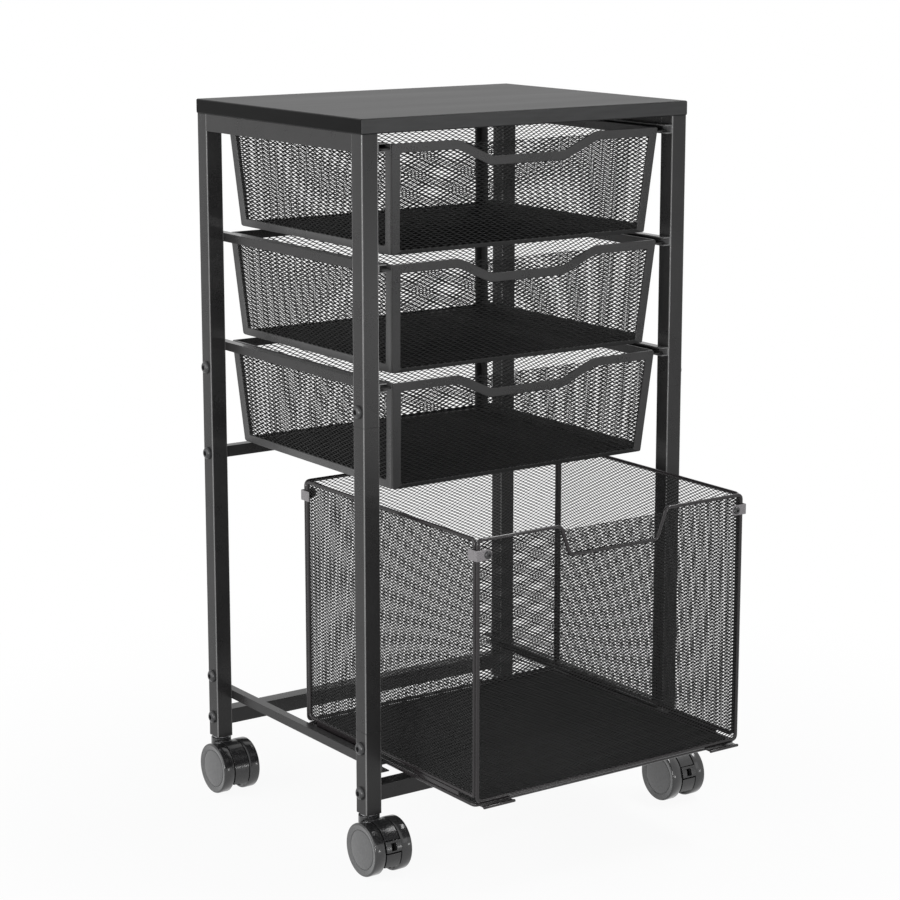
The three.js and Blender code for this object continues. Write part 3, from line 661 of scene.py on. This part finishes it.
def darken_hem(mesh, half_width):
    """The expanded metal itself is folded over at the foot, so the hem has its coat."""
    mesh.materials.append(MESH_COAT)
    for face in mesh.polygons:
        low_down = face.center.y < HEM * MM
        face.material_index = int(low_down and abs(face.center.x) < half_width * MM)


print("strip widths in mm:", RIM_STRIP, POST_STRIP, FOOT_STRIP, HEM)


# %% Walls with their metal, and the lips on the side walls
def drawer_metal(node, outline):
    field = moved_in(outline, [METAL_INSET] * len(outline))
    metal = expanded_metal(node + "_metal", field, DRAWER_CELL, DRAWER_STRAND)
    metal.data.transform(TO_SHEET_MIDDLE)
    return metal


def drawer_wall(node, half_top, half_bottom, offset_top, offset_bottom, quarter, base, dipped):
    slant = math.hypot(DRAWER_HEIGHT, offset_top - offset_bottom)
    dip_floor = slant - DIP_DEPTH
    dip = [(DIP_TOP, slant), (DIP_BOTTOM, dip_floor), (-DIP_BOTTOM, dip_floor), (-DIP_TOP, slant)]
    outline = corners((-half_bottom, 0), (half_bottom, 0), (half_top, slant), *(dip if dipped else ()),
                      (-half_top, slant))
    rims = [RIM_STRIP] * (len(outline) - 3)
    hemmed = quarter in (0, 2)
    widths = [HEM if hemmed else FOOT_STRIP, POST_STRIP, *rims, POST_STRIP]
    bends = [DIP_ROUND] * (len(outline) - 4)
    radii = [CORNER_ROUND] * 3 + bends + [CORNER_ROUND]
    # The side walls take the lighter copy of the coat, which paints a highlight on them
    coat = DRAWER_COAT if hemmed else DRAWER_SIDE_PAINTED_HIGHLIGHT
    border = strip_border(node + "_border", outline, widths, radii, coat)
    if hemmed:
        darken_hem(border.data, half_bottom - POST_STRIP)
    metal = drawer_metal(node, outline)
    return joined(node + "_dressed", [border, metal], wall_place(quarter, offset_top, offset_bottom, base))


def side_lip(node, side, base):
    low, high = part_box(node)
    edge = low.x if side < 0 else high.x
    root = side * (DRAWER_TOP[0] - SHEET) * MM
    thick = SHEET * MM
    floor = base + (DRAWER_HEIGHT - LIP_DROP) * MM
    half = (DRAWER_TOP[1] - LIP_INSET) * MM
    middle = Vector(((edge + root) / 2, FRAME_MIDDLE.y, floor + thick / 2))
    size = Vector((abs(edge - root), 2 * half, thick))
    shape = bmesh.new()
    bmesh.ops.create_cube(shape, size=1, matrix=Matrix.LocRotScale(middle, None, size))
    bmesh.ops.bevel(shape, geom=shape.edges, offset=LIP_EDGE, segments=2, affect="EDGES", profile=0.5)
    made = new_object(node + "_lip", mesh_of(node + "_lip", shape, DRAWER_COAT))
    shade_soft(made.data)
    return made


print("cell of the drawers' metal in mm:", [round(size / MM, 2) for size in DRAWER_CELL])

# %% The three drawers
(top_x, top_y), (low_x, low_y) = DRAWER_TOP, DRAWER_BOTTOM
across = (top_x, low_x, top_y - SHEET, low_y - SHEET)
deep = (top_y - SHEET, low_y - SHEET, top_x - SHEET, low_x - SHEET)
WALLS = (("front", 0, across), ("back", 2, across), ("right", 1, deep), ("left", 3, deep))
for drawer in DRAWERS:
    body = "drawer_" + drawer
    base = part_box(body + "_floor")[0].z
    for wall, quarter, sizes in WALLS:
        node = f"{body}_{wall}"
        made = drawer_wall(node, *sizes, quarter, base, wall == "front")
        if wall in SIDES:
            lip = side_lip(node, SIDES[wall], base)
            made = joined(node + "_with_lip", [made, lip], Matrix.Identity(4))
        settle(made, body, [node])
    node = body + "_floor"
    half_x, half_y = low_x - SHEET, low_y - SHEET
    outline = corners((-half_x, -half_y), (half_x, -half_y), (half_x, half_y), (-half_x, half_y))
    border = strip_border(node + "_border", outline, [FOOT_STRIP] * 4, [CORNER_ROUND] * 4, DRAWER_COAT)
    metal = drawer_metal(node, outline)
    made = joined(node + "_dressed", [border, metal], Matrix.Translation((0, FRAME_MIDDLE.y, base)))
    settle(made, body, [node])
    print(drawer, "drawer dressed")

# %% [markdown]
# ## The file box
# The box is five wire frames filled with a finer expanded metal. Each wire is a round bar bent to
# the outline: a curve with a round bevel, turned into a mesh. The front panel has a deep notch.

# %% Box panels
BOX_CELL = (7.1 * MM, 3.55 * MM)
BOX_STRAND = 0.85 * MM
BOX_METAL_INSET = 0.3 * MM
WIRE = 4.0
BEND = 5.0 * MM
BEND_STEPS = 6


def bent_wire(name, outline):
    curve = bpy.data.curves.new(name, "CURVE")
    curve.dimensions = "3D"
    curve.bevel_depth = WIRE / 2 * MM
    curve.bevel_resolution = 3
    points = rounded(outline, [BEND] * len(outline), BEND_STEPS)
    spline = curve.splines.new("POLY")
    spline.points.add(len(points) - 1)
    spline.use_cyclic_u = True
    for point, place in zip(spline.points, points):
        point.co = (place.x, place.y, 0, 1)
    holder = new_object(name, curve)
    mesh = bpy.data.meshes.new_from_object(holder.evaluated_get(bpy.context.evaluated_depsgraph_get()))
    bpy.data.objects.remove(holder)
    mesh.materials.clear()
    mesh.materials.append(WIRE_COAT)
    mesh.shade_smooth()
    return new_object(name, mesh)


def box_panel(node, outline, place, extras=()):
    wire = bent_wire(node + "_wire", outline)
    field = rounded(moved_in(outline, [BOX_METAL_INSET] * len(outline)), [BEND] * len(outline))
    metal = expanded_metal(node + "_metal", field, BOX_CELL, BOX_STRAND)
    made = joined(node + "_dressed", [wire, metal, *extras], place)
    return settle(made, "file_box", [node])


box_low, box_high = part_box("file_box_tray")
BOX_MIDDLE = (box_low + box_high) / 2
front_low, front_high = (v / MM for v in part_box("file_box_front"))
front_x = front_high.x - WIRE / 2
foot, top = front_low.z + WIRE / 2, front_high.z - WIRE / 2
NOTCH_TOP, NOTCH_BOTTOM, NOTCH_DEPTH = 65.5, 54.0, 30.4
notch_floor = top - NOTCH_DEPTH
notch = [(NOTCH_TOP, top), (NOTCH_BOTTOM, notch_floor), (-NOTCH_BOTTOM, notch_floor), (-NOTCH_TOP, top)]
STAND = Matrix.Rotation(math.pi / 2, 4, "X")


def middle_of(node):
    low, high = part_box(node)
    return (low + high) / 2


def stand_at(node, quarter):
    middle = middle_of(node)
    turn = Matrix.Rotation(quarter * math.pi / 2, 4, "Z")
    return Matrix.Translation((middle.x, middle.y, 0)) @ turn @ STAND


end_corners = [(-front_x, foot), (front_x, foot), (front_x, top)]
box_panel("file_box_front", corners(*end_corners, *notch, (-front_x, top)), stand_at("file_box_front", 0))
box_panel("file_box_back", corners(*end_corners, (-front_x, top)), stand_at("file_box_back", 2))
for side, quarter in (("right", 1), ("left", 3)):
    node = "file_box_" + side
    low, high = (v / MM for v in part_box(node))
    half = (high.y - low.y) / 2 - WIRE / 2
    rise, reach = low.z + WIRE / 2, high.z - WIRE / 2
    outline = corners((-half, rise), (half, rise), (half, reach), (-half, reach))
    box_panel(node, outline, stand_at(node, quarter))
print("upright panels of the file box dressed")

# %% The tray, with the two stops in front of it
half_x = (box_high.x - box_low.x) / 2 / MM - WIRE / 2
TRAY_SET_BACK = 4.0 * MM
tray_front, tray_back = middle_of("file_box_front").y + TRAY_SET_BACK, middle_of("file_box_back").y
half_y = (tray_back - tray_front) / 2 / MM
tray_height = box_high.z - WIRE / 2 * MM
tray_place = Matrix.Translation((BOX_MIDDLE.x, (tray_front + tray_back) / 2, tray_height))
STOP_WIDTH, STOP_INSET, STOP_THICKNESS, STOP_PLATE = 37.5, 2.75, 3.0, 1.4
STOP_SIDES = 20
STOP_ROUND = 0.9 * MM


def stop_bar(side):
    """A thin plate that reaches out from under the tray, with its front edge rolled to a round bar."""
    reach = (tray_front - box_low.y) / MM - STOP_THICKNESS / 2
    shape = bmesh.new()
    across = side * (half_x - STOP_INSET - STOP_WIDTH / 2)
    middle = Vector((across, -half_y - reach / 2, 0)) * MM
    size = Vector((STOP_WIDTH - 2, reach, STOP_PLATE)) * MM
    bmesh.ops.create_cube(shape, size=1, matrix=Matrix.LocRotScale(middle, None, size))
    turn = Matrix.Rotation(math.pi / 2, 4, "Y")
    roll = Matrix.Translation(Vector((across, -half_y - reach, 0)) * MM) @ turn
    radius = STOP_THICKNESS / 2 * MM
    bmesh.ops.create_cone(shape, cap_ends=True, segments=STOP_SIDES, radius1=radius, radius2=radius,
                          depth=STOP_WIDTH * MM, matrix=roll)
    ends = [edge for edge in shape.edges if len(edge.link_faces) == 2
            and {len(face.verts) for face in edge.link_faces} == {4, STOP_SIDES}]
    bmesh.ops.bevel(shape, geom=ends, offset=STOP_ROUND, segments=3, affect="EDGES", profile=0.5)
    made = new_object("stop_bar", mesh_of("stop_bar", shape, WIRE_COAT))
    shade_soft(made.data, 45)
    return made


tray_outline = corners((-half_x, -half_y), (half_x, -half_y), (half_x, half_y), (-half_x, half_y))
box_panel("file_box_tray", tray_outline, tray_place, [stop_bar(side) for side in SIDES.values()])
print("tray half width and half depth in mm:", round(half_x, 1), round(half_y, 1))

# %% Clips, ties and slide plates
CLIP_EDGE, TIE_EDGE, SLIDE_EDGE = 0.6 * MM, 0.5 * MM, 0.4 * MM
for end in ENDS:
    for side in SIDES:
        softened(f"file_box_clip_{end}_{side}", CLIP_EDGE, CLIP_COAT)
for side in SIDES:
    softened(f"file_box_tie_{side}", TIE_EDGE, WIRE_COAT)
    softened(f"file_box_slide_{side}", SLIDE_EDGE, WIRE_COAT)
print("file box dressed")

# %% [markdown]
# ## Casters
# Each caster has a glossy hood between two wheels. A wheel is a turned shape: its section is drawn
# once and spun round the axle. Its outer face has a ring that slopes inwards and a low domed disc.
# A bright washer lies round the stem, between the foot of the leg and the collar of the hood.

# %% Turned shapes
TURN_MERGE = 1e-6


def turned(points, axis, steps, closed):
    """Spins a section round an axis through the origin."""
    shape = bmesh.new()
    line = [shape.verts.new(point) for point in points]
    following = line[1:] + line[:1] if closed else line[1:]
    edges = [shape.edges.new(pair) for pair in zip(line, following)]
    bmesh.ops.spin(shape, geom=line + edges, cent=(0, 0, 0), axis=axis, angle=2 * math.pi, steps=steps,
                   use_merge=True)
    bmesh.ops.remove_doubles(shape, verts=shape.verts, dist=TURN_MERGE)
    return shape


print("seams of turned shapes are merged within", TURN_MERGE / MM, "mm")

# %% Wheels: a tread, a sloping ring and a low domed disc
WHEEL_STEPS = 56
BORE = 3.4
RING_WIDTH = 1.9


def wheel_section(radius, width):
    """Pairs of radius and distance from the wheel's inner face, from the bore over the tread to the hub."""
    inner_face = [(BORE, 0), (20, 0), (21, 1.2), (24, 1.2), (25.3, 0)]
    tread = [(radius - 0.6, 0.3), (radius, 1.2), (radius, width - 1.5), (radius - 0.15, width - 0.9),
             (radius - 0.55, width - 0.35), (radius - 1.2, width - 0.05), (radius - RING_WIDTH, width)]
    groove = [(radius - 2.5, width - 0.12), (20.7, width - 1.2), (20.4, width - 1.7), (19.9, width - 1.7)]
    disc = [(19.6, width - 1.1), (19, width - 0.95), (15, width - 0.6), (10, width - 0.28),
            (5, width - 0.08), (0, width)]
    return inner_face + tread + groove + disc


def wheel(node):
    low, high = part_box(node)
    middle = (low + high) / 2
    outward = 1 if middle.x > middle_of(node.rsplit("_wheel", 1)[0] + "_hood").x else -1
    radius = (high.z - low.z) / 2 / MM
    width = (high.x - low.x) / MM
    points = [(x * MM, r * MM, 0) for r, x in wheel_section(radius, width)]
    shape = turned(points, (1, 0, 0), WHEEL_STEPS, closed=False)
    # The faces of the disc inside the ring take the lighter hub plastic, a painted reflection
    for face in shape.faces:
        centre = face.calc_center_median()
        on_hub = centre.yz.length < (radius - RING_WIDTH) * MM and centre.x > width / 2 * MM
        face.material_index = 1 if on_hub else 0
    if outward < 0:
        half_turn = Matrix.Rotation(math.pi, 3, "Z")
        bmesh.ops.rotate(shape, verts=shape.verts, cent=(0, 0, 0), matrix=half_turn)
    inner = low.x if outward > 0 else high.x
    bmesh.ops.translate(shape, verts=shape.verts, vec=(inner, middle.y, middle.z))
    bmesh.ops.recalc_face_normals(shape, faces=shape.faces)
    mesh = mesh_of(node + "_dressed", shape, TREAD_PLASTIC, HUB_PLASTIC_PAINTED_REFLECTION)
    made = new_object(node + "_dressed", mesh)
    shade_soft(made.data, 40)
    return settle(made, node, [node])


print("points in the section of a wheel:", len(wheel_section(0, 0)))

# %% Washers
WASHER = [(5.3, -0.3), (8.2, -0.3), (8.6, -0.6), (8.6, -1.3), (8.2, -1.6), (5.3, -1.6)]
WASHER_STEPS = 32


def washer(caster):
    stem = middle_of(caster + "_stem")
    leg_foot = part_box("lower_side_frame_left")[0].z
    points = [(r * MM, 0, z * MM) for r, z in WASHER]
    shape = turned(points, (0, 0, 1), WASHER_STEPS, closed=True)
    bmesh.ops.recalc_face_normals(shape, faces=shape.faces)
    bmesh.ops.translate(shape, verts=shape.verts, vec=(stem.x, stem.y, leg_foot))
    made = new_object(caster + "_washer", mesh_of(caster + "_washer", shape, BRIGHT_STEEL))
    shade_soft(made.data)
    return settle(made, "frame")


print("washer across in mm:", 2 * max(r for r, _ in WASHER))

# %% The four casters and the two levers
HOOD_EDGE, STEM_EDGE, LEVER_EDGE = 0.5 * MM, 0.4 * MM, 1.2 * MM
for end in ENDS:
    for side in SIDES:
        caster = f"caster_{end}_{side}"
        washer(caster)
        softened(caster + "_hood", HOOD_EDGE, HOOD_PLASTIC)
        softened(caster + "_stem", STEM_EDGE, BRIGHT_STEEL)
        for wheel_side in SIDES:
            wheel(f"{caster}_wheel_{wheel_side}")
for side in SIDES:
    softened(f"brake_lever_{side}", LEVER_EDGE, HOOD_PLASTIC, 3)
print("casters dressed")

# %% [markdown]
# ## Screws
# The frame is held by screws with a low round head and a hexagon socket. One head is modelled, and a
# node tree sets a copy at each point of a small cloud, turned to the direction stored on that point.

# %% One screw head
HEAD_SIDES = 18
SOCKET_FLOOR = 0.35


def head_ring(shape, radii, height):
    row = []
    for index, radius in enumerate(radii):
        angle = 2 * math.pi * index / HEAD_SIDES
        row.append(shape.verts.new((radius * math.cos(angle), radius * math.sin(angle), height)))
    return row


def screw_head(radius, height, socket):
    shape = bmesh.new()
    dome = [(1, 0), (1, 0.25), (0.92, 0.62), (0.72, 0.88), (0.52, 1)]
    rows = [head_ring(shape, [radius * across] * HEAD_SIDES, up * height) for across, up in dome]
    hexagon = []
    for index in range(HEAD_SIDES):
        from_flat = (2 * math.pi * index / HEAD_SIDES) % (math.pi / 3) - math.pi / 6
        hexagon.append(0.5 * socket / math.cos(from_flat))
    rows += [head_ring(shape, hexagon, z) for z in (height, SOCKET_FLOOR * height)]
    for row, following in zip(rows, rows[1:]):
        for i in range(HEAD_SIDES):
            j = (i + 1) % HEAD_SIDES
            shape.faces.new((row[i], row[j], following[j], following[i]))
    shape.faces.new(reversed(rows[0]))
    shape.faces.new(rows[-1])
    bmesh.ops.recalc_face_normals(shape, faces=shape.faces)
    mesh = mesh_of("screw_head", shape)
    shade_soft(mesh, 35)
    return new_object("screw_head", mesh)


print("sides of a screw head:", HEAD_SIDES)


# %% The tree that sets the copies
def screw_tree():
    tree, inputs, recipe, value = started_tree(
        "screws_on_points", "Points", "Screws", (("Head", "Object"), ("Metal", "Material")))
    info = tree.nodes.new("GeometryNodeObjectInfo")
    recipe.feed(info.inputs["Object"], value["Head"])
    out = recipe.node("GeometryNodeInputNamedAttribute", {"data_type": "FLOAT_VECTOR"}, {"Name": "out"})
    turn = recipe.node("FunctionNodeAlignRotationToVector", {"axis": "Z"}, {"Vector": out})
    copies = recipe.node("GeometryNodeInstanceOnPoints", {}, {
        "Points": value["Points"], "Instance": Flow(recipe, info.outputs["Geometry"]), "Rotation": turn})
    ended_tree(recipe, copies, value["Metal"])
    return tree, inputs


SCREWS, SCREW_INPUT = screw_tree()
print("nodes in the tree for screws:", len(SCREWS.nodes))


def screws(name, body, head, spots):
    mesh = bpy.data.meshes.new(name)
    mesh.from_pydata([place for place, _ in spots], [], [])
    out = mesh.attributes.new("out", "FLOAT_VECTOR", "POINT")
    for item, (_, direction) in zip(out.data, spots):
        item.vector = direction
    made = new_object(name, mesh)
    tree = made.modifiers.new("screws", "NODES")
    tree.node_group = SCREWS
    tree[SCREW_INPUT["Head"]] = head
    tree[SCREW_INPUT["Metal"]] = SCREW_STEEL
    made.update_tag()
    baked(made)
    return settle(made, body)


# %% The frame's screws, beside the seams and at the ends of the cross rails
LEG_X = -leg_low.x
LEG_Y = FRAME_MIDDLE.y - (leg_low.y + leg_high.y) / 2
SEAM_SCREW, LOWER_SEAM_SCREW, LOW_RAIL_SCREW, MIDDLE_RAIL_SCREW = 467.5, 125.7, 79.0, 374.2
frame_head = screw_head(6.8 * MM, 4.2 * MM, 5.0 * MM)
spots = []
for side in SIDES.values():
    for end, sign in ENDS.items():
        heights = [SEAM_SCREW, LOWER_SEAM_SCREW, LOW_RAIL_SCREW]
        if end == "rear":
            heights.append(MIDDLE_RAIL_SCREW)
        depth = FRAME_MIDDLE.y + sign * LEG_Y
        spots += [((side * LEG_X, depth, z * MM), (side, 0, 0)) for z in heights]
screws("frame_screws", "frame", frame_head, spots)
print("frame screws:", len(spots))

# %% The screws in the round ends of the box clips
clip_head = screw_head(3.9 * MM, 2.2 * MM, 2.8 * MM)
spots = []
for end, sign in ENDS.items():
    for side_name, side in SIDES.items():
        low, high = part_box(f"file_box_clip_{end}_{side_name}")
        half_height = (high.z - low.z) / 2
        eye = low.x + half_height if side > 0 else high.x - half_height
        face = low.y if sign < 0 else high.y
        spots.append(((eye, face, low.z + half_height), (0, sign, 0)))
screws("clip_screws", "file_box", clip_head, spots)
for head in (frame_head, clip_head):
    bpy.data.objects.remove(head)
print("clip screws:", len(spots))

# %% [markdown]
# ## Camera, floor and light
# The camera stands to the left of the cart, a little above its top, and is turned down to it. A long
# lens keeps the upright edges nearly parallel. The light is soft: a broad source on the left, a strip
# beside the camera, a low one that gives the casters their glints, a weak one in front and one above.
# The background is white to the camera and in reflections only, and lights the cart at a plain level.

# %% Camera
CAMERA_PLACE = Vector((-1.4993, -2.1541, 0.9474))
CAMERA_DOWN, CAMERA_TURN = 0.2026, -0.6118
CAMERA_LENS, SENSOR_WIDTH = 100.6, 36
CAMERA_SHIFT = -0.03
camera_data = bpy.data.cameras.new("camera")
camera = new_object("camera", camera_data)
camera.location = CAMERA_PLACE + Vector((0, FRAME_MIDDLE.y, 0))
camera.rotation_euler = (math.pi / 2 - CAMERA_DOWN, 0, CAMERA_TURN)
camera_data.sensor_width = SENSOR_WIDTH
camera_data.lens = CAMERA_LENS
camera_data.shift_y = CAMERA_SHIFT
scene.camera = camera
print("camera turned down by", round(math.degrees(CAMERA_DOWN), 1), "degrees")

# %% Floor
def looked_at(recipe):
    """One where a ray comes from the camera, a mirror or a glass, zero where it only carries light."""
    rays = recipe.tree.nodes.new("ShaderNodeLightPath")
    camera_ray, glossy_ray, through_ray = (
        Flow(recipe, rays.outputs[f"Is {kind} Ray"]) for kind in ("Camera", "Glossy", "Transmission"))
    return camera_ray.maths("MAXIMUM", camera_ray, glossy_ray.maths("MAXIMUM", glossy_ray, through_ray))


def emptied(holder):
    """Clears the nodes of a material or a world, and starts a recipe in it."""
    holder.use_nodes = True
    holder.node_tree.nodes.clear()
    return Recipe(holder.node_tree)


FLOOR_SIZE = 40
FLOOR_GREY = (0.8, 0.8, 0.8, 1)
WHITE = (1, 1, 1, 1)
SHADE_START, SHADE_END, SHADE_WHITENESS = 0.3, 0.9, 0.93
floor_mesh = bmesh.new()
bmesh.ops.create_grid(floor_mesh, x_segments=1, y_segments=1, size=FLOOR_SIZE / 2)
floor_material = bpy.data.materials.new("pale_floor")
recipe = emptied(floor_material)
seen = looked_at(recipe)
matt = recipe.node("ShaderNodeBsdfDiffuse", {}, {"Color": FLOOR_GREY})
glow = recipe.node("ShaderNodeEmission", {}, {"Color": WHITE, "Strength": 1.0})
place = recipe.node("ShaderNodeTexCoord", out=3)
distance = recipe.node("ShaderNodeVectorMath", {"operation": "LENGTH"}, {0: place}, out=1)
whiteness = recipe.node("ShaderNodeMapRange", {"interpolation_type": "SMOOTHSTEP"}, {
    "Value": distance, "From Min": SHADE_START, "From Max": SHADE_END,
    "To Min": SHADE_WHITENESS, "To Max": 1.0})
mixed = recipe.node("ShaderNodeMixShader", {}, {0: seen * whiteness, 1: matt, 2: glow})
recipe.node("ShaderNodeOutputMaterial", {}, {"Surface": mixed})
floor = new_object("floor", mesh_of("floor", floor_mesh, floor_material))
floor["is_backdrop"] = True
print("floor side in metres:", FLOOR_SIZE)

# %% World and lamps
SKY = (0.9, 0.92, 0.95, 1)
SKY_STRENGTH = 0.45
world = bpy.data.worlds.new("studio")
scene.world = world
recipe = emptied(world)
seen = looked_at(recipe)
soft = recipe.node("ShaderNodeBackground", {}, {"Color": SKY, "Strength": SKY_STRENGTH})
white = recipe.node("ShaderNodeBackground", {}, {"Color": WHITE, "Strength": 1.0})
mixed = recipe.node("ShaderNodeMixShader", {}, {0: seen, 1: soft, 2: white})
recipe.node("ShaderNodeOutputWorld", {}, {"Surface": mixed})


LAMP_TARGET = Vector((0, FRAME_MIDDLE.y, 0.4))
LAMPS = (
    # name, place in metres, size in metres, power in watts
    ("left_window", (-2.8, 0.3, 1.1), (3.0, 2.6), 60),
    ("strip_by_camera", (-2.5, -1.9, 0.5), (0.2, 0.8), 40),
    ("low_strip", (1.5, -2.7, 0.08), (0.4, 0.12), 3.2),
    ("front_fill", (0.8, -3.2, 1.6), (1.6, 1.6), 5),
    ("overhead", (1.3, -0.4, 2.6), (1.6, 0.5), 32),
)


def soft_lamp(name, place, size, power):
    data = bpy.data.lights.new(name, "AREA")
    data.shape = "RECTANGLE"
    data.size, data.size_y = size
    data.energy = power
    lamp = new_object(name, data)
    lamp.location = place
    aim = LAMP_TARGET - lamp.location
    lamp.rotation_euler = aim.to_track_quat("-Z", "Y").to_euler()


for lamp in LAMPS:
    soft_lamp(*lamp)
scene.view_settings.view_transform = "Standard"
print("lamps:", len(LAMPS))

# %% The size of the dressed cart
low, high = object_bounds()
print("visual box in mm:", [round(v / MM, 1) for v in (high - low)])
